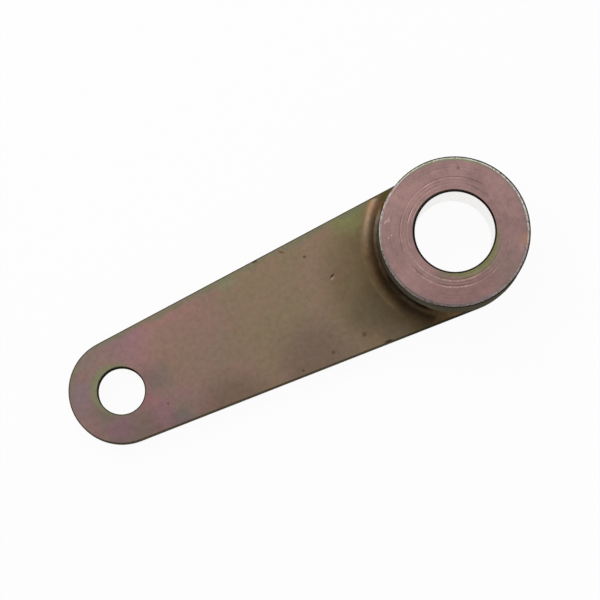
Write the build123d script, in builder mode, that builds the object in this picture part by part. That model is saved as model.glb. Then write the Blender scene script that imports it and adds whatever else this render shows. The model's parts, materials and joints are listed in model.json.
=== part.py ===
from build123d import *
import os

# Aircraft control arm: a flat tapered plate with a turned hub welded to its large end.
# The origin is on the hub's bore axis, in the plate's back face. +Z runs along the hub
# towards its front face, and +X runs along the arm to the link hole. Sizes are in mm.

# Plate
arm_length = 49.2              # hub axis to link hole axis
plate_thickness = 3.18
plate_setback = 0.1            # how far the plate's edge stands inside the hub's wall
link_end_radius = 7.14
link_hole_diameter = 6.35
plate_edge_break = 0.15

# Hub
hub_diameter = 20.2
hub_bore_diameter = 10.7
hub_length = 12.7              # back face to front face
hub_rim_radius = 0.35
hub_bore_chamfer = 0.25
spigot_wall = 1.65             # metal round the bore where the hub passes through the plate
spigot_clearance = 0.03        # radial gap between the spigot and the plate

# Welds
front_weld_leg = 2.4
front_weld_hollow = 0.6        # depth of the bead's hollow under a straight face
front_weld_run_out = 2.4       # how far in from the plate's edges the bead reaches its height
back_weld_depth = 0.7

# Sizes that follow from the ones above
hub_radius = hub_diameter / 2
hub_end_radius = hub_radius - plate_setback
hub_bore_radius = hub_bore_diameter / 2
spigot_radius = hub_bore_radius + spigot_wall
spigot_hole_radius = spigot_radius + spigot_clearance
link_hole_radius = link_hole_diameter / 2

os.makedirs("parts", exist_ok=True)

# The plate's outline: the hub end is a little narrower than the hub, and straight edges
# run tangent from it to the smaller round of the link end.
with BuildSketch() as plate_outline:
    Circle(hub_end_radius)
    with Locations((arm_length, 0)):
        Circle(link_end_radius)
    make_hull()

# Plate, with its sheared edges broken, the link hole deburred on both sides, and the
# spigot's hole bevelled at the back to take the seal weld.
with BuildPart() as arm_plate:
    add(plate_outline.sketch)
    extrude(amount=plate_thickness)
    outer_faces = arm_plate.faces().filter_by(Plane.XY)
    chamfer(outer_faces.edges(), length=plate_edge_break)
    with BuildSketch():
        with Locations((arm_length, 0)):
            Circle(link_hole_radius)
    extrude(amount=plate_thickness, mode=Mode.SUBTRACT)
    link_hole_rims = arm_plate.edges(Select.LAST).filter_by(GeomType.CIRCLE)
    chamfer(link_hole_rims, length=plate_edge_break)
    with BuildSketch():
        Circle(spigot_hole_radius)
    extrude(amount=plate_thickness, mode=Mode.SUBTRACT)
    spigot_hole_rims = arm_plate.edges(Select.LAST).filter_by(GeomType.CIRCLE)
    chamfer(spigot_hole_rims.sort_by(Axis.Z)[0], length=back_weld_depth)
arm_plate.part.label = "arm_plate"
export_step(arm_plate.part, "parts/arm_plate.step")

# Hub: its spigot fills the plate's hole to the back face, and its shoulder sits on the
# plate's front face. The spigot's back rim is bevelled to match the plate's hole.
with BuildPart() as hub_sleeve:
    with BuildSketch():
        Circle(spigot_radius)
    extrude(amount=plate_thickness)
    spigot_rim = hub_sleeve.edges().sort_by(Axis.Z)[0]
    chamfer(spigot_rim, length=back_weld_depth)
    with BuildSketch(Plane.XY.offset(plate_thickness)):
        Circle(hub_radius)
    extrude(amount=hub_length - plate_thickness)
    hub_rim = hub_sleeve.edges().sort_by(Axis.Z)[-1]
    fillet(hub_rim, radius=hub_rim_radius)
    with BuildSketch():
        Circle(hub_bore_radius)
    extrude(amount=hub_length, mode=Mode.SUBTRACT)
    bore_rims = hub_sleeve.edges(Select.LAST).filter_by(GeomType.CIRCLE)
    chamfer(bore_rims, length=hub_bore_chamfer)
hub_sleeve.part.label = "hub_sleeve"
export_step(hub_sleeve.part, "parts/hub_sleeve.step")

# Front weld: a hollow fillet bead in the corner between the hub's wall and the plate.
# Where the flat of the plate narrows beside the hub, the bead slopes down and runs out.
with BuildPart() as front_fillet_weld:
    with BuildSketch(Plane.XZ):
        root = (hub_radius, plate_thickness)
        toe = (hub_radius + front_weld_leg, plate_thickness)
        crest = (hub_radius, plate_thickness + front_weld_leg)
        with BuildLine():
            Polyline(crest, root, toe)
            SagittaArc(toe, crest, front_weld_hollow)
        make_face()
    revolve(axis=Axis.Z)
    with BuildSketch(Plane.XY.offset(plate_thickness)):
        add(plate_outline.sketch)
        offset(amount=-plate_edge_break, mode=Mode.REPLACE)
    with BuildSketch(Plane.XY.offset(plate_thickness + front_weld_leg)):
        add(plate_outline.sketch)
        offset(amount=-plate_edge_break - front_weld_run_out, mode=Mode.REPLACE)
    loft(ruled=True, mode=Mode.INTERSECT)
front_fillet_weld.part.label = "front_fillet_weld"
export_step(front_fillet_weld.part, "parts/front_fillet_weld.step")

# Back weld: a ring that fills the bevelled groove round the spigot, dressed flush.
with BuildPart() as back_seal_weld:
    with BuildSketch(Plane.XZ):
        with BuildLine():
            Polyline((spigot_radius - back_weld_depth, 0), (spigot_hole_radius + back_weld_depth, 0),
                     (spigot_hole_radius, back_weld_depth), (spigot_radius, back_weld_depth), close=True)
        make_face()
    revolve(axis=Axis.Z)
back_seal_weld.part.label = "back_seal_weld"
export_step(back_seal_weld.part, "parts/back_seal_weld.step")
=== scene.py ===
# %% [markdown]
# # Aircraft control arm
#
# This lesson dresses a small steel lever: a flat tapered plate, a turned hub at its large
# end and the weld that joins them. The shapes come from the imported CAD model, which is
# loaded first and never moved. What is added here is the finish: yellow-chromated cadmium
# plating, which is satin and drifts between mauve, tan and olive.

# %% Load the CAD model
import json
import math

import bpy
from mathutils import Matrix, Vector


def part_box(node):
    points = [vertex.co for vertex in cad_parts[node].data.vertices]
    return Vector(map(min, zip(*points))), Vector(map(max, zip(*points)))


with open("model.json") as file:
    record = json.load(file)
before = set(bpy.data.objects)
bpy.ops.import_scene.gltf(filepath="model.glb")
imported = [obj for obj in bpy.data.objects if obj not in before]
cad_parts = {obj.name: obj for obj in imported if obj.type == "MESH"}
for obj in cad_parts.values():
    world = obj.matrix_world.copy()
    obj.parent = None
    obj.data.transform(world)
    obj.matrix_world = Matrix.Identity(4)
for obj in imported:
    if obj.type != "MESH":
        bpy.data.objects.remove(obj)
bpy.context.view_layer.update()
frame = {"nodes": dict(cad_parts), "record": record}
MM = 0.001
print("pieces:", sorted(frame["nodes"]))

# %% [markdown]
# The hub's bore axis is the Z axis of the frame, and the arm lies along +X. The finish refers
# to places on the lever, such as the hub's rim and the link hole. They could be typed in, but
# they are read from the pieces' boxes and from the record's mounts, so that they follow the
# CAD model. They are in millimetres, because stains, tool marks and grain have real sizes.

# %% Places that the finish refers to, in millimetres
hub_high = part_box("hub_sleeve")[1]
plate_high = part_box("arm_plate")[1]
mounts = {mount["name"]: mount for mount in frame["record"]["mounts"]}
hub_radius = hub_high.x / MM
hub_top = hub_high.z / MM
bore_radius = mounts["hub_bore"]["dims"]["r_mm"]
link_radius = mounts["link_hole"]["dims"]["r_mm"]
link_place = (mounts["link_hole"]["pos_m"][0] / MM, mounts["link_hole"]["pos_m"][1] / MM)
plate_top = plate_high.z / MM
hub_end_radius = plate_high.y / MM
link_end_radius = plate_high.x / MM - link_place[0]
edge_slope = (hub_end_radius - link_end_radius) / link_place[0]
print("hub radius", round(hub_radius, 2), "mm, plate", round(plate_top, 2), "mm thick")
print("link hole", [round(v, 2) for v in link_place], "mm from the hub's axis")

# %% [markdown]
# The CAD faces arrive as flat facets. Marking them smooth and splitting the shading only at
# real edges makes a turned wall look round and keeps its rims crisp. More facets would do it
# too, but the Edge Split modifier does it without touching a vertex.

# %% Smooth the turned faces and keep the edges crisp
CREASE_ANGLE = math.radians(24)
for piece in frame["nodes"].values():
    for face in piece.data.polygons:
        face.use_smooth = True
    split = piece.modifiers.new("crisp_edges", "EDGE_SPLIT")
    split.split_angle = CREASE_ANGLE
    print(piece.name, len(piece.data.polygons), "faces")

# %% [markdown]
# The camera stands nearly straight above the arm with a long lens, as a catalogue picture is
# taken. It leans four and a half degrees, so a little of the hub's wall shows below its face,
# and it is rolled so that the arm runs from the lower left to the upper right. It could be
# aimed with a Track To constraint, but its own three directions say all of that at once.

# %% Camera
VIEW_TILT = math.radians(4.53)          # lean away from straight above
VIEW_TILT_HEADING = math.radians(65.1)  # the lean's direction, round from +X
VIEW_ROLL = math.radians(155.19)        # where the picture's right-hand side points, round from +X
VIEW_DISTANCE = 600 * MM
PICTURE_PIXELS = 600
PIXEL_SIZE = 0.1349 * MM                # what one pixel covers at the plate's front face
SENSOR_WIDTH = 36.0
aim_point = Vector((22.21 * MM, -1.05 * MM, plate_top * MM))

back = Vector((math.sin(VIEW_TILT) * math.cos(VIEW_TILT_HEADING),
               math.sin(VIEW_TILT) * math.sin(VIEW_TILT_HEADING),
               math.cos(VIEW_TILT)))
right = Vector((math.cos(VIEW_ROLL), math.sin(VIEW_ROLL), 0.0))
right = (right - back * right.dot(back)).normalized()
up = back.cross(right)
camera_data = bpy.data.cameras.new("camera")
camera_data.sensor_width = SENSOR_WIDTH
camera_data.lens = SENSOR_WIDTH * VIEW_DISTANCE / (PICTURE_PIXELS * PIXEL_SIZE)
camera_data.clip_start = 10 * MM
camera_data.clip_end = 5.0
camera = bpy.data.objects.new("camera", camera_data)
bpy.context.scene.collection.objects.link(camera)
camera.matrix_world = Matrix((
    (right.x, up.x, back.x, aim_point.x + back.x * VIEW_DISTANCE),
    (right.y, up.y, back.y, aim_point.y + back.y * VIEW_DISTANCE),
    (right.z, up.z, back.z, aim_point.z + back.z * VIEW_DISTANCE),
    (0, 0, 0, 1)))
bpy.context.scene.camera = camera
print("lens", round(camera_data.lens), "mm")

# %% [markdown]
# Materials are built from nodes. One function adds a node, sets its values and links its
# inputs, so that each material below reads as a list of what it is made of. Colours are
# given as sRGB hex, as a paint chart would, and turned to linear light in one place.

# %% Node and colour helpers
def linear(hex_colour):
    """An sRGB colour such as #7c6b5a as linear red, green, blue and alpha."""
    levels = [int(hex_colour[start:start + 2], 16) / 255 for start in (1, 3, 5)]
    return (*(v / 12.92 if v <= 0.04045 else ((v + 0.055) / 1.055) ** 2.4 for v in levels), 1.0)


def add_node(tree, kind, inputs=None, **settings):
    """Adds one node. inputs maps an input's number or name to a value, a colour, a node or a socket."""
    node = tree.nodes.new("ShaderNode" + kind)
    for name, value in settings.items():
        setattr(node, name, value)
    for name, source in (inputs or {}).items():
        sockets = [socket for socket in node.inputs if socket.enabled]
        socket = sockets[name] if isinstance(name, int) else node.inputs[name]
        if isinstance(source, bpy.types.Node):
            source = next(output for output in source.outputs if output.enabled)
        if isinstance(source, bpy.types.NodeSocket):
            tree.links.new(source, socket)
        else:
            socket.default_value = linear(source) if isinstance(source, str) else source
    return node


print("a mid grey is", [round(v, 3) for v in linear("#808080")])

# %% [markdown]
# The pieces sit at the frame's origin, so their object coordinates are the CAD coordinates in
# metres. Texture coordinates from an unwrap would do as well, but these need none and keep
# their real scale. A new material starts with its point in millimetres: along and across the
# arm, its height, and its distance from the hub's axis.

# %% Start a material and measure its points in millimetres
def start_material(name):
    material = bpy.data.materials.new(name)
    material.use_nodes = True
    tree = material.node_tree
    tree.nodes.clear()
    object_place = add_node(tree, "TexCoord").outputs["Object"]
    point = add_node(tree, "VectorMath", {0: object_place, "Scale": 1 / MM}, operation="SCALE")
    axes = add_node(tree, "SeparateXYZ", {0: point})
    flat = add_node(tree, "VectorMath", {0: point, 1: (1.0, 1.0, 0.0)}, operation="MULTIPLY")
    radius = add_node(tree, "VectorMath", {0: flat}, operation="LENGTH").outputs["Value"]
    place = {"point": point, "flat": flat, "radius": radius,
             "along": axes.outputs["X"], "across": axes.outputs["Y"], "height": axes.outputs["Z"]}
    return material, tree, place


print("one millimetre is", MM, "m")

# %% [markdown]
# Chromated plating is never one colour. The film's thickness changes with how the part hung
# and drained in the bath, and the thin film colours the metal mauve, tan or olive. These
# functions lay one colour over another: a stain round a place, clouds anywhere, and a drift
# from one colour to the next along the arm. Noise makes their edges ragged, since a clean
# edge would look painted on.

# %% Stains, clouds and drifts in the plating film
def stain(tree, place, under, colour, middle, full, gone, strength=1.0, ragged=1.0):
    """A stain round middle (x, y): full inside one distance and gone beyond the other, in mm."""
    wander = add_node(tree, "TexNoise", {"Vector": place["point"], "Scale": 0.45, "Detail": 4.0})
    away = add_node(tree, "VectorMath", {0: place["flat"], 1: (*middle, 0.0)}, operation="DISTANCE")
    reach = add_node(tree, "Math", {0: wander, 1: 2 * ragged, 2: away.outputs["Value"]},
                     operation="MULTIPLY_ADD")
    share = add_node(tree, "MapRange", {"Value": reach, "From Min": gone + ragged, "From Max": full + ragged,
                                        "To Max": strength}, interpolation_type="SMOOTHSTEP")
    return add_node(tree, "Mix", {0: share, 1: under, 2: colour}, data_type="RGBA")


def cloud(tree, place, under, colour, size, seed, strength=1.0):
    """Irregular clouds about size mm across."""
    shifted = add_node(tree, "VectorMath", {0: place["point"], 1: (seed * 7.3, seed * 3.1, seed * 5.7)})
    noise = add_node(tree, "TexNoise", {"Vector": shifted, "Scale": 1 / size, "Detail": 3.0})
    share = add_node(tree, "MapRange", {"Value": noise, "From Min": 0.42, "From Max": 0.64,
                                        "To Max": strength}, interpolation_type="SMOOTHSTEP")
    return add_node(tree, "Mix", {0: share, 1: under, 2: colour}, data_type="RGBA")


def drift(tree, place, under, colour, start, end, ragged=5.0):
    """The film turning to colour along the arm, from start to end in mm."""
    wander = add_node(tree, "TexNoise", {"Vector": place["point"], "Scale": 0.09, "Detail": 3.0})
    reach = add_node(tree, "Math", {0: wander, 1: 2 * ragged, 2: place["along"]}, operation="MULTIPLY_ADD")
    share = add_node(tree, "MapRange", {"Value": reach, "From Min": start + ragged, "From Max": end + ragged},
                     interpolation_type="SMOOTHSTEP")
    return add_node(tree, "Mix", {0: share, 1: under, 2: colour}, data_type="RGBA")


print("stains, clouds and drifts are ready")

# %% [markdown]
# Marks with a sharp edge need two more functions. One lays a short straight scratch. The other
# gives a share, from none to all, that follows the distance from a place, for lines that run
# round the hub and for one side of it. Neither is ragged.

# %% Scratches and clean rounds
def scratch(tree, place, under, colour, middle, heading, length, width, strength=0.8):
    """A short straight mark. heading is in degrees round from +X, and the rest is in mm."""
    moved = add_node(tree, "VectorMath", {0: place["flat"], 1: (*middle, 0.0)}, operation="SUBTRACT")
    turned = add_node(tree, "VectorRotate", {"Vector": moved, "Angle": -math.radians(heading)},
                      rotation_type="Z_AXIS")
    scaled = add_node(tree, "VectorMath", {0: turned, 1: (2 / length, 2 / width, 0.0)}, operation="MULTIPLY")
    away = add_node(tree, "VectorMath", {0: scaled}, operation="LENGTH").outputs["Value"]
    share = add_node(tree, "MapRange", {"Value": away, "From Min": 1.0, "From Max": 0.4, "To Max": strength})
    return add_node(tree, "Mix", {0: share, 1: under, 2: colour}, data_type="RGBA")


def share_round(tree, place, middle, start, end, low=0.0, high=1.0):
    """A share that goes from low to high between two distances from middle (x, y), in mm."""
    away = add_node(tree, "VectorMath", {0: place["flat"], 1: (*middle, 0.0)}, operation="DISTANCE")
    return add_node(tree, "MapRange", {"Value": away.outputs["Value"], "From Min": start, "From Max": end,
                                       "To Min": low, "To Max": high})


print("scratches and rounds are ready")

# %% [markdown]
# Under the plating, the steel's own surface shows as a satin grain. The last step of each
# material gives the colour its fine mottling, makes the gloss uneven and raises the grain.
# Real plated grain is about 0.02 mm, too fine to show, so it is drawn at 0.35 mm. Metal keeps
# the shader's default IOR, and its colour sets how much it reflects.

# %% Satin grain under the plating
GRAIN_MM = 0.35
GRAIN_DEPTH_MM = 0.002
MOTTLE_PER_MM = 1.3   # patches a little under a millimetre across, with finer ones in them
EDGE_ON = "#8f8576"   # what the film reflects at a grazing angle, where plain metal would turn white


def finish_plating(tree, place, colour, roughness, relief, relief_mm, edge_on=EDGE_ON):
    """Adds the shader. relief is a height from 0 to 1, which stands relief_mm deep."""
    grain = add_node(tree, "TexNoise", {"Vector": place["point"], "Scale": 1 / GRAIN_MM, "Detail": 2.0})
    mottle = add_node(tree, "TexNoise", {"Vector": place["point"], "Scale": MOTTLE_PER_MM, "Detail": 6.0,
                                         "Roughness": 0.75})
    depth = add_node(tree, "MapRange", {"Value": mottle, "From Min": 0.25, "From Max": 0.75,
                                        "To Min": 0.78, "To Max": 1.22})
    toned = add_node(tree, "VectorMath", {0: colour, "Scale": depth}, operation="SCALE")
    gloss = add_node(tree, "Math", {0: mottle, 1: 0.2, 2: roughness}, operation="MULTIPLY_ADD")
    raised = add_node(tree, "Bump", {"Height": relief, "Distance": relief_mm * MM})
    grained = add_node(tree, "Bump", {"Height": grain, "Distance": GRAIN_DEPTH_MM * MM, "Normal": raised})
    shader = add_node(tree, "BsdfPrincipled", {"Base Color": toned, "Metallic": 1.0, "Roughness": gloss,
                                               "Specular Tint": edge_on, "Normal": grained})
    add_node(tree, "OutputMaterial", {"Surface": shader})


print("grain drawn at", GRAIN_MM, "mm")

# %% [markdown]
# The arm is cold-rolled steel sheet, cut to outline and plated in yellow chromate. To the
# eye it is a dull satin: brown and olive towards the weld, where the film is thickest and
# where painted shade of the hub darkens it too, tan in the middle and mauve at the link end.
# Noise alone would put those colours anywhere, so broad drifts and clouds come first and
# stains are then laid where the real film has them.

# %% Yellow-plated sheet: broad colours of the film
sheet, tree, place = start_material("yellow_plated_sheet")
mauve_end = cloud(tree, place, "#88706a", "#8c6a6c", 2.2, 6, 0.6)
colour = drift(tree, place, "#6f5f46", "#86745e", 10.0, 20.0)
colour = drift(tree, place, colour, mauve_end, 28.0, 44.0)
colour = stain(tree, place, colour, "#9b7470", (43.0, -5.5), 2.0, 12.0, 0.8)   # mauve by the hole
colour = cloud(tree, place, colour, "#7f755d", 9.0, 1, 0.35)
colour = cloud(tree, place, colour, "#926f68", 5.0, 2, 0.3)
colour = stain(tree, place, colour, "#6f5b4e", (36.0, 10.0), 3.0, 8.0, 0.7)    # browner +Y edge
colour = stain(tree, place, colour, "#6f5f5a", (49.5, 9.0), 3.0, 8.5, 0.6)
colour = stain(tree, place, colour, "#85735f", (40.0, -2.2), 1.5, 6.0, 0.6)    # tan before the hole
colour = stain(tree, place, colour, "#876b78", (46.4, -6.0), 0.5, 5.0, 0.4)    # violet next to it
colour = stain(tree, place, colour, "#6c5a52", (23.5, 7.6), 2.0, 8.0, 0.6)
print(sheet.name, "has its broad colours in", len(tree.nodes), "nodes")

# %% [markdown]
# The steel that the weld's heat reached took its plating dull and brown, and round the
# hub it is painted darker still, as painted shade of the hub. It is darkest in the corner by
# the weld's +Y end, which is a painted shadow, and the film turned olive at the other edge.
# The link end is the most mottled, since the bath drained off there: spots of mauve, violet,
# grey and brown lie close together.

# %% Yellow-plated sheet: by the weld and at the link end
colour = stain(tree, place, colour, "#453723", (6.4, 3.6), 5.2, 9.6, 0.8)      # darker round the hub: heat tint and painted shade of the hub
colour = stain(tree, place, colour, "#6b6050", (12.0, 9.2), 0.5, 3.5, 0.6)
colour = stain(tree, place, colour, "#2e2418", (6.9, 9.4), 0.5, 2.2, 0.6)      # painted shadow in the corner by the weld's +Y end
colour = stain(tree, place, colour, "#67573f", (12.0, 0.5), 4.0, 9.0, 0.55)
colour = stain(tree, place, colour, "#5b5540", (14.6, 4.6), 1.0, 4.5, 0.5)
colour = stain(tree, place, colour, "#7f8155", (11.7, -9.5), 0.8, 4.6, 0.8)    # olive at the -Y edge
colour = stain(tree, place, colour, "#7d8063", (30.2, -7.8), 0.6, 2.4, 0.6)
for tone, middle, full, gone, strength in (
        ("#837177", (54.5, -1.7), 0.6, 3.0, 0.6),
        ("#846370", (51.4, 4.7), 0.6, 2.6, 0.5),
        ("#6a6958", (52.4, 1.8), 0.5, 2.4, 0.6),
        ("#8f6871", (45.0, 4.9), 0.8, 2.6, 0.5),
        ("#73705f", (43.4, 1.0), 0.8, 3.0, 0.5),
        ("#74715e", (42.7, 5.5), 0.5, 2.0, 0.4),
        ("#756360", (45.4, 0.0), 0.5, 3.4, 0.6),
        ("#6c6260", (43.4, 7.4), 0.5, 2.6, 0.6),
        ("#97696c", (45.9, 2.8), 0.3, 1.4, 0.5)):
    colour = stain(tree, place, colour, tone, middle, full, gone, strength)
print(sheet.name, "has its stains in", len(tree.nodes), "nodes")

# %% [markdown]
# Grey-green rings the link hole and lines the plate's edge in broken lengths, where drops
# hung longest. The line could be drawn by hand, but the outline is simple: straight sides
# that narrow towards the link end, and a round beyond its hole. So the gap to the edge is
# worked out from those two, and noise and the side it lies on decide where the line shows.

# %% Yellow-plated sheet: grey-green ring and edges
LEAN_TO_EDGE = 0.07     # the line is wider on the -Y side, by this much of the way across
WANDER_MM = 2.4         # how far the line comes and goes
halo = (link_place[0] + 0.5, link_place[1] - 0.4)
colour = stain(tree, place, colour, "#7c7f60", halo, link_radius - 0.075, link_radius + 0.725, 0.8, 0.5)
half_width = add_node(tree, "Math", {0: place["along"], 1: -edge_slope, 2: hub_end_radius},
                      operation="MULTIPLY_ADD")
off_middle = add_node(tree, "Math", {0: place["across"]}, operation="ABSOLUTE")
side_gap = add_node(tree, "Math", {0: half_width, 1: off_middle}, operation="SUBTRACT")
link_away = add_node(tree, "VectorMath", {0: place["flat"], 1: (*link_place, 0.0)}, operation="DISTANCE")
tip_gap = add_node(tree, "Math", {0: link_end_radius, 1: link_away.outputs["Value"]}, operation="SUBTRACT")
at_tip = add_node(tree, "Math", {0: place["along"], 1: link_place[0]}, operation="GREATER_THAN")
edge_gap = add_node(tree, "Mix", {0: at_tip, 1: side_gap, 2: tip_gap}, data_type="FLOAT")
wander = add_node(tree, "TexNoise", {"Vector": place["point"], "Scale": 0.25, "Detail": 3.0})
leaning = add_node(tree, "Math", {0: place["across"], 1: LEAN_TO_EDGE, 2: edge_gap}, operation="MULTIPLY_ADD")
drained = add_node(tree, "Math", {0: wander, 1: -WANDER_MM, 2: leaning}, operation="MULTIPLY_ADD")
lined = add_node(tree, "MapRange", {"Value": drained, "From Min": -0.8, "From Max": -1.4, "To Max": 0.75})
colour = add_node(tree, "Mix", {0: lined, 1: colour, 2: "#75745e"}, data_type="RGBA")
colour = stain(tree, place, colour, "#84726e", (51.9, -6.4), 0.5, 3.2, 0.7)    # a gap in the line
print("grey-green ring", round(link_radius + 0.725, 2), "mm from the link hole's axis")

# %% [markdown]
# Handling has left a few specks and nicks on the front. Each could be a dent in the mesh, but
# they are a few tenths of a millimetre, so they are drawn in the film: stains and scratches
# that fade out within the top millimetre and so don't come through to the back.

# %% Yellow-plated sheet: specks and nicks on the front
on_front = add_node(tree, "MapRange", {"Value": place["height"], "From Min": plate_top - 1.0,
                                       "From Max": plate_top, "To Max": 0.8})
for middle, size in (
        ((19.2, -6.1), 0.25),
        ((16.3, 6.8), 0.5),
        ((21.1, 7.3), 0.35),
        ((25.8, 7.8), 0.3),
        ((44.2, 4.2), 0.2)):
    colour = stain(tree, place, colour, "#4f4437", middle, 0.05, size, on_front, 0.2)
for tone, middle, heading, length, width in (
        ("#a39279", (17.0, -1.9), 25.0, 0.9, 0.4),     # the bright lip of the nick below
        ("#21170f", (16.9, -2.2), 25.0, 1.0, 0.4),
        ("#6b3d36", (21.8, -8.0), 140.0, 1.1, 0.35),
        ("#363422", (25.6, -8.3), 183.0, 1.1, 0.3),
        ("#0d0a08", (13.7, 9.05), 177.0, 1.5, 0.5)):
    colour = scratch(tree, place, colour, tone, middle, heading, length, width, on_front)
print("five specks, four nicks and a lip, in", len(tree.nodes), "nodes")

# %% [markdown]
# The sheared sides look darker than the faces, most of all beside the weld, where heat
# reached them and where they are painted darker still, in colour and in what they reflect at
# a grazing angle, as painted shade of the hub. The link hole's wall is darker and rougher
# still, its darkness partly painted shade in the hole. Both are part of the same mesh, so
# they are told apart by place: between the two faces, or within the hole's radius.
# The sheet's rolling marks run along the arm. They are too fine to see one by one, about
# 0.05 mm, and are drawn about 0.6 mm wide and ten times as long.

# %% Yellow-plated sheet: sides, link hole and rolling marks
BESIDE_WELD = (5.5, 10.0)
# beside the weld the sides are painted darker: painted shade of the hub
side_colour_and_shade = stain(tree, place, "#5b5443", "#3f372a", BESIDE_WELD, 2.0, 9.0)
side_edge_on_and_shade = stain(tree, place, EDGE_ON, "#453d33", BESIDE_WELD, 2.0, 9.0)
above_back = add_node(tree, "Math", {0: place["height"], 1: 0.01}, operation="GREATER_THAN")
below_front = add_node(tree, "Math", {0: place["height"], 1: plate_top - 0.01}, operation="LESS_THAN")
on_side = add_node(tree, "Math", {0: above_back, 1: below_front}, operation="MULTIPLY")
in_hole = add_node(tree, "Math", {0: link_away.outputs["Value"], 1: link_radius + 0.02},
                   operation="LESS_THAN")
colour = add_node(tree, "Mix", {0: on_side, 1: colour, 2: side_colour_and_shade}, data_type="RGBA")
edge_on = add_node(tree, "Mix", {0: on_side, 1: EDGE_ON, 2: side_edge_on_and_shade}, data_type="RGBA")
colour = add_node(tree, "Mix", {0: in_hole, 1: colour, 2: "#30281f"}, data_type="RGBA")
roughness = add_node(tree, "Math", {0: in_hole, 1: 0.2, 2: 0.4}, operation="MULTIPLY_ADD")
rolled = add_node(tree, "Mapping", {"Vector": place["point"], "Scale": (0.15, 1.6, 1.0)})
rolling_marks = add_node(tree, "TexNoise", {"Vector": rolled, "Scale": 1.0, "Detail": 3.0})
finish_plating(tree, place, colour, roughness, rolling_marks, 0.004, edge_on)
print(sheet.name, len(tree.nodes), "nodes")

# %% [markdown]
# The hub is turned from bar and plated with the arm. Its face is mauve, with a thin grey line
# inside the rim, olive at the rim itself and an olive crescent by the bore. A turned part's
# stains are mostly round, so each is a stain with a clean edge, set a little off the axis:
# that makes a crescent without drawing one. A few nicks lie on the arm's side of the face.

# %% Yellow-plated turned hub: the film on its face
RIM_MIDDLE = (0.11, -0.05)     # the rim's wear is this far off the hub's axis
turned, tree, place = start_material("yellow_plated_turned_hub")
mauve = cloud(tree, place, "#9e7e7a", "#927572", 3.5, 3)
mauve = stain(tree, place, mauve, "#8a6b68", (3.5, 9.5), 2.0, 10.0, 0.8)
grey_line = share_round(tree, place, RIM_MIDDLE, hub_radius - 0.7, hub_radius - 0.45, high=0.55)
mauve = add_node(tree, "Mix", {0: grey_line, 1: mauve, 2: "#7c7074"}, data_type="RGBA")
colour = stain(tree, place, "#86896d", mauve, (0.45, 1.0), hub_radius + 0.4, hub_radius + 0.7, 1.0, 0.2)
colour = stain(tree, place, colour, "#a87c66", (-8.6, 4.8), 0.3, 1.6, 0.6)
colour = stain(tree, place, colour, "#8a716d", (7.3, -3.2), 1.0, 4.5, 0.5)
colour = stain(tree, place, colour, "#7f6d67", (-4.2, 7.4), 1.0, 4.0, 0.5)
colour = stain(tree, place, colour, "#7c7b57", (-0.35, 1.36), bore_radius - 0.85, bore_radius + 0.15,
               0.95, 0.3)
colour = stain(tree, place, colour, "#7d7262", (3.9, 4.7), 0.3, 1.2, 0.6)
for middle, length in (
        ((7.85, -5.0), 0.8),
        ((7.3, -5.25), 0.6),
        ((7.35, -5.0), 0.5),
        ((8.38, -2.92), 0.3),
        ((7.88, -3.06), 0.3)):
    colour = scratch(tree, place, colour, "#c9b7ae", middle, 206.0, length, 0.22, 0.65)
colour = stain(tree, place, colour, "#5a4342", (-3.97, -7.55), 0.05, 0.35, 0.6, 0.1)   # a mark by the rim
print(turned.name, "has its face in", len(tree.nodes), "nodes")

# %% [markdown]
# The hub's wall is grey-green and duller than the face, as the bath left it. Low down beside
# the weld it is painted lighter, in colour and in what it reflects at a grazing angle: painted
# light thrown up on it by the arm. Face and wall are one mesh, and the rounded rim between
# them starts 0.35 mm below the top, so the height tells them apart.

# %% Yellow-plated turned hub: the wall
wall = add_node(tree, "MapRange", {"Value": place["height"], "From Min": hub_top - 0.3,
                                   "From Max": hub_top - 0.4})
beside_weld = share_round(tree, place, (8.7, 5.0), 6.0, 2.0)
low_down = add_node(tree, "MapRange", {"Value": place["height"], "From Min": 9.5, "From Max": 6.0})
# painted light thrown up by the arm, low on the wall beside the weld
painted_bounce_light = add_node(tree, "Math", {0: beside_weld, 1: low_down}, operation="MULTIPLY")
wall_colour = add_node(tree, "Mix", {0: painted_bounce_light, 1: "#6c6658", 2: "#7f7b6c"}, data_type="RGBA")
wall_edge_on = add_node(tree, "Mix", {0: painted_bounce_light, 1: "#5f5d54", 2: "#807d6f"}, data_type="RGBA")
colour = add_node(tree, "Mix", {0: wall, 1: colour, 2: wall_colour}, data_type="RGBA")
edge_on = add_node(tree, "Mix", {0: wall, 1: EDGE_ON, 2: wall_edge_on}, data_type="RGBA")
print("wall from", round(hub_top - 0.35, 2), "mm down")

# %% [markdown]
# The rounded rim has lost its film, so bare metal shines there in a thin broken line. It is
# made weakest on the +Y side, which is painted shade: the rim's lit side is painted brighter
# than its low side. Wear is often found from the mesh's curvature, but that needs fine
# facets, and this rim is easy to name: far enough out and high enough up. Noise breaks the
# line.

# %% Yellow-plated turned hub: the worn rim
BARE_METAL = "#e0dcd1"
outside = share_round(tree, place, RIM_MIDDLE, hub_radius - 0.34, hub_radius - 0.24)
near_top = add_node(tree, "MapRange", {"Value": place["height"], "From Min": hub_top - 0.7,
                                       "From Max": hub_top - 0.45})
on_rim = add_node(tree, "Math", {0: outside, 1: near_top}, operation="MULTIPLY")
breaks = add_node(tree, "TexNoise", {"Vector": place["point"], "Scale": 3.0, "Detail": 4.0})
worn = add_node(tree, "MapRange", {"Value": breaks, "From Min": 0.38, "From Max": 0.52, "To Max": 0.95})
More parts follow.
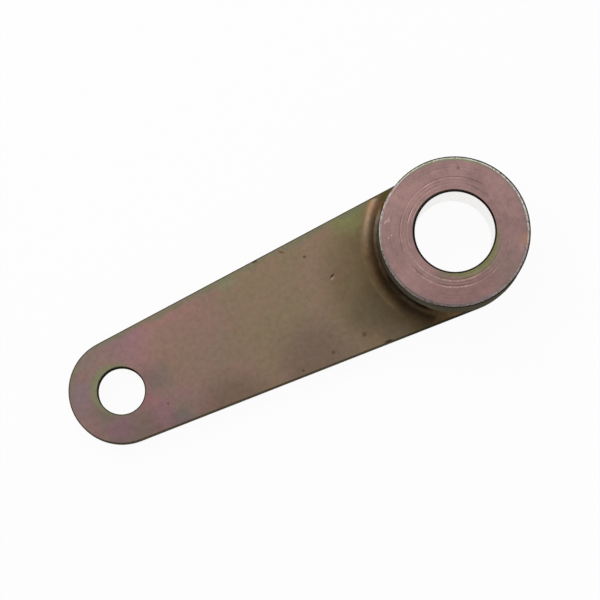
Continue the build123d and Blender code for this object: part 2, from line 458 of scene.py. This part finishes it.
# the fade towards +Y is painted shade of the rim's low side
wear_and_lit_side = share_round(tree, place, (0.9, 10.1), 9.0, 14.0, low=0.36)
bare = add_node(tree, "Math", {0: on_rim, 1: worn}, operation="MULTIPLY")
bare = add_node(tree, "Math", {0: bare, 1: wear_and_lit_side}, operation="MULTIPLY")
colour = add_node(tree, "Mix", {0: bare, 1: colour, 2: BARE_METAL}, data_type="RGBA")
edge_on = add_node(tree, "Mix", {0: bare, 1: edge_on, 2: BARE_METAL}, data_type="RGBA")
print("bare metal from", round(hub_radius - 0.34, 2), "mm out")

# %% [markdown]
# Just past the bare line, at the very top of the wall, a thin dark line is painted shade of
# the rim's edge where it turns away from the light. It is nearly black on the +Y side and
# fades out beside the arm. It is drawn as the bare line is, a little further out, and laid
# over it.

# %% Yellow-plated turned hub: the dark line under the rim
turned_away = share_round(tree, place, (0.05, 0.03), hub_radius - 0.16, hub_radius - 0.11)
just_under = add_node(tree, "MapRange", {"Value": place["height"], "From Min": hub_top - 0.8,
                                         "From Max": hub_top - 0.5})
off_the_arm = share_round(tree, place, (10.0, -1.5), 6.9, 10.5)
# a painted shade line at the top of the wall
painted_shade_line = add_node(tree, "Math", {0: turned_away, 1: just_under}, operation="MULTIPLY")
painted_shade_line = add_node(tree, "Math", {0: painted_shade_line, 1: off_the_arm}, operation="MULTIPLY")
darkest = share_round(tree, place, (-0.9, 10.0), 12.0, 7.0)
painted_shade_colour = add_node(tree, "Mix", {0: darkest, 1: "#47423a", 2: "#1c1915"}, data_type="RGBA")
colour = add_node(tree, "Mix", {0: painted_shade_line, 1: colour, 2: painted_shade_colour}, data_type="RGBA")
edge_on = add_node(tree, "Mix", {0: painted_shade_line, 1: edge_on, 2: painted_shade_colour}, data_type="RGBA")
print("dark line from", round(hub_radius - 0.16, 2), "mm out")

# %% [markdown]
# The bore's mouth is deburred, and its chamfer is drawn dark, in a ring set a little off the
# axis so that it is wider on the -Y side. The bore itself is reamed smooth and bright for its
# pivot, with no film: it is the one mirror on the lever, so its roughness is low, and at a
# grazing angle it turns white, as bare steel does. The face is satin, and the wall is the
# roughest.

# %% Yellow-plated turned hub: the reamed bore and the gloss
deburred = share_round(tree, place, (0.018, -0.098), bore_radius + 0.3, bore_radius + 0.24)
colour = add_node(tree, "Mix", {0: deburred, 1: colour, 2: "#3b322d"}, data_type="RGBA")
in_bore = add_node(tree, "Math", {0: place["radius"], 1: bore_radius + 0.02}, operation="LESS_THAN")
colour = add_node(tree, "Mix", {0: in_bore, 1: colour, 2: "#e9e7e2"}, data_type="RGBA")
edge_on = add_node(tree, "Mix", {0: in_bore, 1: edge_on, 2: "#ffffff"}, data_type="RGBA")
roughness = add_node(tree, "Math", {0: wall, 1: 0.3, 2: 0.3}, operation="MULTIPLY_ADD")
roughness = add_node(tree, "Math", {0: in_bore, 1: -0.55, 2: roughness}, operation="MULTIPLY_ADD")
print("bore", 2 * bore_radius, "mm across")

# %% [markdown]
# Turning leaves fine concentric marks, about 0.1 mm apart and drawn at 0.35 mm, and a few
# deeper rings where the tool stood still. The fine marks follow the distance from the axis on
# the end faces and the height on the walls, so one wave of radius plus height draws both. The
# film fills some of them, so noise breaks them, and the face is smoothest away from the arm.

# %% Yellow-plated turned hub: tool marks
TOOL_MARK_MM = 0.35
along_tool = add_node(tree, "Math", {0: place["radius"], 1: place["height"]}, operation="ADD")
tool_marks = add_node(tree, "TexNoise", {"W": along_tool, "Scale": 1 / TOOL_MARK_MM, "Detail": 2.0},
                      noise_dimensions="1D")
filled = add_node(tree, "TexNoise", {"Vector": place["point"], "Scale": 0.28, "Detail": 2.0})
still_open = add_node(tree, "MapRange", {"Value": filled, "From Min": 0.42, "From Max": 0.62,
                                         "To Min": 0.1, "To Max": 0.6})
off_smooth_side = share_round(tree, place, (-7.2, 2.6), 3.5, 8.0, low=0.3)
still_open = add_node(tree, "Math", {0: still_open, 1: off_smooth_side}, operation="MULTIPLY")
relief = add_node(tree, "Math", {0: tool_marks, 1: still_open}, operation="MULTIPLY")
for ring_radius, ring_depth in ((5.95, 1.2), (6.45, 3.4), (6.9, 1.2), (7.3, 3.8), (8.6, 0.6)):
    off_ring = add_node(tree, "Math", {0: place["radius"], 1: ring_radius}, operation="SUBTRACT")
    off_ring = add_node(tree, "Math", {0: off_ring}, operation="ABSOLUTE")
    ring = add_node(tree, "MapRange", {"Value": off_ring, "From Min": 0.0, "From Max": 0.15,
                                       "To Min": ring_depth, "To Max": 0.0}, interpolation_type="SMOOTHSTEP")
    open_ring = add_node(tree, "Math", {0: ring, 1: still_open}, operation="MULTIPLY")
    relief = add_node(tree, "Math", {0: relief, 1: open_ring}, operation="SUBTRACT")
print("tool marks drawn at", TOOL_MARK_MM, "mm")

# %% [markdown]
# Beside the two deepest rings the metal stands a little proud. On one side of the face those
# crests are painted pale, a painted highlight where their slopes face the light. Bump alone
# wouldn't show that, so they get a colour.

# %% Yellow-plated turned hub: pale ring crests
# painted highlight on the crests' lit side
lit_crest_side = share_round(tree, place, (4.6, 5.0), 6.0, 3.0)
lit_crest_side = add_node(tree, "Math", {0: lit_crest_side, 1: worn}, operation="MULTIPLY")
for crest_radius in (6.6, 7.45):
    off_crest = add_node(tree, "Math", {0: place["radius"], 1: crest_radius}, operation="SUBTRACT")
    off_crest = add_node(tree, "Math", {0: off_crest}, operation="ABSOLUTE")
    crest = add_node(tree, "MapRange", {"Value": off_crest, "From Min": 0.14, "From Max": 0.02,
                                        "To Max": 0.6})
    crest = add_node(tree, "Math", {0: crest, 1: lit_crest_side}, operation="MULTIPLY")
    colour = add_node(tree, "Mix", {0: crest, 1: colour, 2: "#bfa4a0"}, data_type="RGBA")
finish_plating(tree, place, colour, roughness, relief, 0.02, edge_on)
print(turned.name, len(tree.nodes), "nodes")

# %% [markdown]
# The fillet weld is a smooth hollow bead between the hub's wall and the plate. Its plating
# came out brown, and it is glossier than the sheet. Bands that run with the bead are found
# by their distance from the hub's axis: the outer half is painted pale at the -Y end, a
# painted highlight of the lit toe, the toe has the plate's own brown, and the crest against
# the hub has a thin painted highlight. The +Y end is painted dark, as painted shade of the
# hub, and the corner at the -Y end is olive. A rougher weld would need its scales modelled.
# This one shows only soft ripples, so bump is enough.

# %% Yellow-plated fillet weld
bead, tree, place = start_material("yellow_plated_fillet_weld")
body = cloud(tree, place, "#645038", "#705940", 3.0, 4)
# painted highlight on the lit -Y end of the toe
pale_end_highlight = stain(tree, place, body, "#96816b", (9.2, -7.6), 1.5, 6.0, 0.75)
outer_half = add_node(tree, "MapRange", {"Value": place["radius"], "From Min": hub_radius + 0.8,
                                         "From Max": hub_radius + 1.5})
colour = add_node(tree, "Mix", {0: outer_half, 1: body, 2: pale_end_highlight}, data_type="RGBA")
toe = add_node(tree, "MapRange", {"Value": place["radius"], "From Min": hub_radius + 1.65,
                                  "From Max": hub_radius + 2.1})
colour = add_node(tree, "Mix", {0: toe, 1: colour, 2: "#63543d"}, data_type="RGBA")
# painted shade of the hub at the weld's +Y end
colour = stain(tree, place, colour, "#46382a", (8.4, 6.9), 1.2, 4.2, 0.75)
colour = stain(tree, place, colour, "#33291c", (7.2, 8.9), 0.8, 3.0, 0.4)
# painted highlight along the crest against the hub
painted_crest_highlight = stain(tree, place, colour, "#c4ad92", (10.2, -1.8), 2.0, 5.5)
painted_crest_highlight = stain(tree, place, painted_crest_highlight, "#8f7f65", (9.4, 3.4), 0.8, 4.0)
painted_crest_highlight = stain(tree, place, painted_crest_highlight, "#cfc0ad", (8.8, -5.6), 1.3, 2.9)
by_hub = add_node(tree, "MapRange", {"Value": place["radius"], "From Min": hub_radius + 0.65,
                                     "From Max": hub_radius + 0.3})
colour = add_node(tree, "Mix", {0: by_hub, 1: colour, 2: painted_crest_highlight}, data_type="RGBA")
colour = stain(tree, place, colour, "#96684c", (7.9, -8.0), 0.4, 1.5, 0.25)
colour = stain(tree, place, colour, "#57532c", (5.9, -9.6), 0.4, 1.6, 0.6)
ripples = add_node(tree, "TexNoise", {"Vector": place["point"], "Scale": 0.7, "Detail": 2.0})
finish_plating(tree, place, colour, 0.28, ripples, 0.03)
print(bead.name, len(tree.nodes), "nodes")

# %% [markdown]
# The seal weld at the back was ground flush with the plate, so it shows as a ring of straight
# grinding marks, about 0.1 mm wide and drawn at 0.25 mm, under the same plating. Stretching
# the noise one way makes the marks, and turning it sets them across the arm at an angle.

# %% Yellow-plated dressed weld
dressed, tree, place = start_material("yellow_plated_dressed_weld")
colour = cloud(tree, place, "#7a6a50", "#6d5c46", 2.5, 5)
ground = add_node(tree, "Mapping", {"Vector": place["point"], "Scale": (4.0, 0.3, 1.0),
                                    "Rotation": (0, 0, 0.5)})
grinding_marks = add_node(tree, "TexNoise", {"Vector": ground, "Scale": 1.0, "Detail": 2.0})
finish_plating(tree, place, colour, 0.26, grinding_marks, 0.012)
print(dressed.name, len(tree.nodes), "nodes")

# %% [markdown]
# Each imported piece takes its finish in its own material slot. Nothing else is added to the
# object: its four pieces are all that the real lever has, and their shapes are right.

# %% Dress the pieces
finishes = {"arm_plate": sheet, "hub_sleeve": turned, "front_fillet_weld": bead, "back_seal_weld": dressed}
for name, finish in finishes.items():
    piece = frame["nodes"][name]
    piece.data.materials.clear()
    piece.data.materials.append(finish)
    print(name, "is", finish.name)

# %% [markdown]
# The lever lies on a plain pale floor. A curved paper sweep is usual in a studio, but from
# above a flat floor looks the same and is one face. It shows white to the camera and in the
# metal's reflections, and keeps a little of its own shading so that the lever's soft shadow
# stays.

# %% Floor
FLOOR_GLOW = 0.95         # how much of the floor's white doesn't depend on the lamps
FLOOR_HALF_WIDTH = 1.5
FLOOR_GAP = 0.02 * MM     # keeps the floor clear of the lever's back face
corners = [(x * FLOOR_HALF_WIDTH, y * FLOOR_HALF_WIDTH, 0) for x, y in ((-1, -1), (1, -1), (1, 1), (-1, 1))]
floor_mesh = bpy.data.meshes.new("floor")
floor_mesh.from_pydata(corners, [], [(0, 1, 2, 3)])
floor = bpy.data.objects.new("floor", floor_mesh)
floor.location.z = -FLOOR_GAP
bpy.context.scene.collection.objects.link(floor)

pale_paint = bpy.data.materials.new("pale_floor")
pale_paint.use_nodes = True
tree = pale_paint.node_tree
tree.nodes.clear()
rays = add_node(tree, "LightPath")
seen = add_node(tree, "Math", {0: rays.outputs["Is Camera Ray"], 1: rays.outputs["Is Glossy Ray"]},
                operation="MAXIMUM")
seen = add_node(tree, "Math", {0: seen, 1: rays.outputs["Is Transmission Ray"]}, operation="MAXIMUM")
glowing = add_node(tree, "Math", {0: seen, 1: FLOOR_GLOW}, operation="MULTIPLY")
paint = add_node(tree, "BsdfDiffuse", {"Color": "#f4f4f4"})
white = add_node(tree, "Emission", {"Color": "#ffffff", "Strength": 1.0})
both = add_node(tree, "MixShader", {0: glowing, 1: paint, 2: white})
add_node(tree, "OutputMaterial", {"Surface": both})
floor_mesh.materials.append(pale_paint)
print("floor", 2 * FLOOR_HALF_WIDTH, "m wide")

# %% [markdown]
# The light is a big soft box above. The world is that box: brightest overhead, half as bright
# all round the horizon, and dim on the side beyond the link end, so that flat faces show
# their colour and turned ones show their form. An even white world would flatten the weld.
# The camera sees plain white in its place.

# %% World
def way_to(heading, lean):
    """The direction with this heading, round from +X, and this lean from straight up, in degrees."""
    heading, lean = math.radians(heading), math.radians(lean)
    return Vector((math.sin(lean) * math.cos(heading), math.sin(lean) * math.sin(heading), math.cos(lean)))


BRIGHTEST_WAY = way_to(280, 30)
DIMMEST_WAY = way_to(20, 100)
world = bpy.data.worlds.new("soft_box")
bpy.context.scene.world = world
world.use_nodes = True
tree = world.node_tree
tree.nodes.clear()
way = add_node(tree, "TexCoord").outputs["Generated"]
overhead = add_node(tree, "VectorMath", {0: way, 1: BRIGHTEST_WAY}, operation="DOT_PRODUCT").outputs["Value"]
box = add_node(tree, "MapRange", {"Value": overhead, "From Min": 0.4, "From Max": 1.0, "To Min": 0.08,
                                  "To Max": 1.06}, interpolation_type="SMOOTHSTEP")
dim_side = add_node(tree, "VectorMath", {0: way, 1: DIMMEST_WAY}, operation="DOT_PRODUCT").outputs["Value"]
horizon = add_node(tree, "MapRange", {"Value": dim_side, "From Min": 0.4, "From Max": 0.95, "To Min": 0.5,
                                      "To Max": 0.08}, interpolation_type="SMOOTHSTEP")
level = add_node(tree, "Math", {0: box, 1: horizon}, operation="MAXIMUM")
rays = add_node(tree, "LightPath")
soft_box = add_node(tree, "Background", {"Color": "#ffffff", "Strength": level})
backdrop = add_node(tree, "Background", {"Color": "#ffffff", "Strength": 1.0})
both = add_node(tree, "MixShader", {0: rays.outputs["Is Camera Ray"], 1: soft_box, 2: backdrop})
add_node(tree, "OutputWorld", {"Surface": both})
print("brightest towards", [round(v, 2) for v in BRIGHTEST_WAY])

# %% [markdown]
# One disc lamp stands close by, above the top of the picture, so its light falls off over the
# arm and draws the weld, the rim and the hub's shadow. A sun would light both ends alike. The
# lamp's power is worked out from its area, so that its face is a plain brightness.

# %% Lamp
LAMP_WAY = way_to(280, 33)
LAMP_DISTANCE = 200 * MM
LAMP_SHIFT = Vector((16 * MM, 0, 0))
LAMP_SIZE = 120 * MM
LAMP_BRIGHTNESS = 2.15          # where the soft box overhead is about 0.9
lamp_data = bpy.data.lights.new("disc_lamp", "AREA")
lamp_data.shape = "DISK"
lamp_data.size = LAMP_SIZE
lamp_data.energy = LAMP_BRIGHTNESS * math.pi * math.pi * (LAMP_SIZE / 2) ** 2
lamp = bpy.data.objects.new("disc_lamp", lamp_data)
lamp.location = LAMP_WAY * LAMP_DISTANCE + LAMP_SHIFT
lamp.rotation_euler = LAMP_WAY.to_track_quat("Z", "Y").to_euler()
lamp.visible_camera = False
bpy.context.scene.collection.objects.link(lamp)
print("lamp at", [round(v, 2) for v in lamp.location], "m,", round(lamp_data.energy, 3), "W")

# %% [markdown]
# The last cell fixes the colour handling.

# %% Finish
bpy.context.scene.view_settings.view_transform = "Standard"
